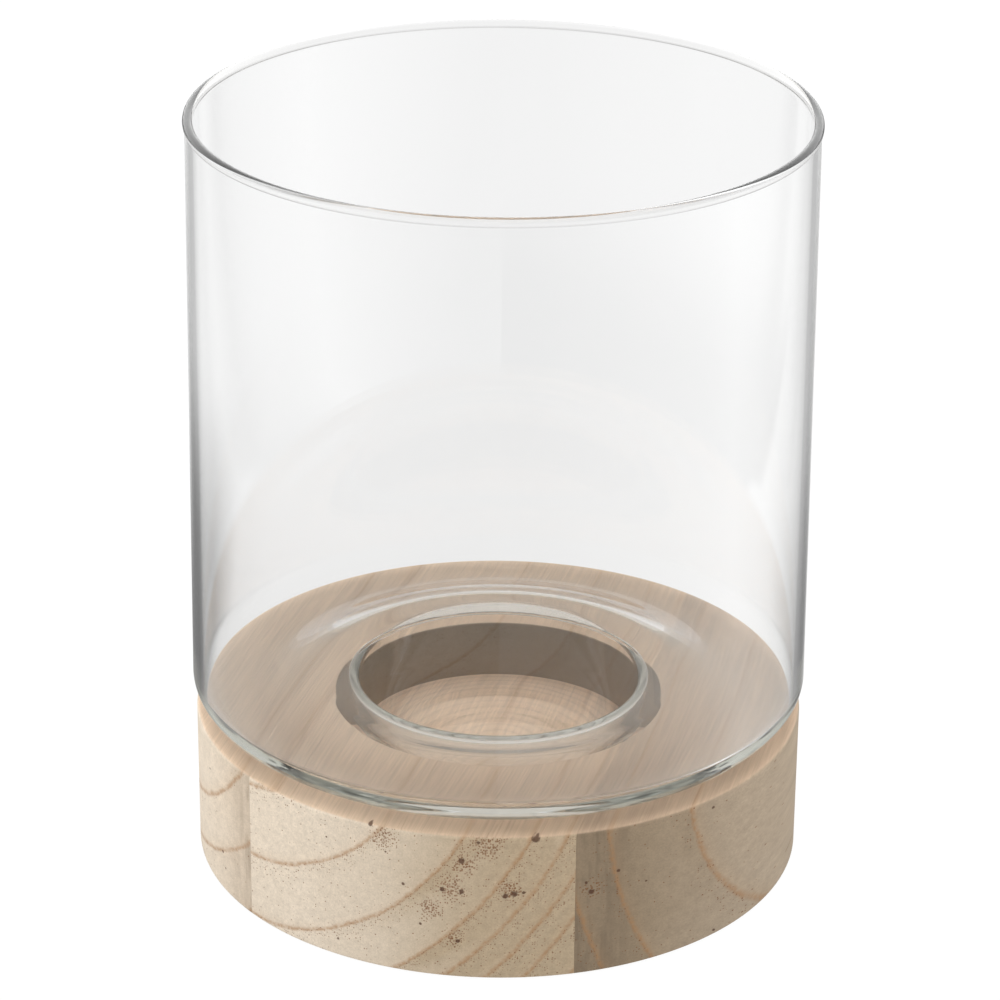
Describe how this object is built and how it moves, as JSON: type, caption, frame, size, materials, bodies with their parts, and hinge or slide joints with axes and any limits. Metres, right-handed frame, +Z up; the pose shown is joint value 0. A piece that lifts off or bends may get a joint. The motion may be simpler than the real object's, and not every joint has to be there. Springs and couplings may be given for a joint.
{
  "type": "hurricane candle holder",
  "caption": "Table hurricane candle holder: a straight clear glass cylinder with a candle well moulded into its floor, lifting off a round wooden base with a matching pocket.",
  "frame": {"origin": "centre of the wooden base's underside, on the vertical axis of the glass cylinder", "axes": "+Z up along the axis of the glass and the base; -Y towards the viewer; the staves run along +Y turned 14 degrees towards +X"},
  "size_m": [0.1596, 0.1596, 0.2],
  "materials": {
    "wood_pale": "bare pale wood, turned and finely sanded, wide growth rings",
    "wood_grey": "bare wood of a greyer board, turned and finely sanded",
    "clear_glass": "polished clear soda-lime glass, faint green in the edges"
  },
  "bodies": {
    "base": {"base_stave_left": "wood_pale", "base_stave_middle": "wood_pale", "base_stave_right": "wood_grey"},
    "vessel": {"glass_vessel": "clear_glass"}
  },
  "joints": [
    {"name": "vessel_lift", "type": "slide", "parent": "base", "child": "vessel", "axis": [0, 0, 1], "range_m": [0, 0.06]}
  ]
}
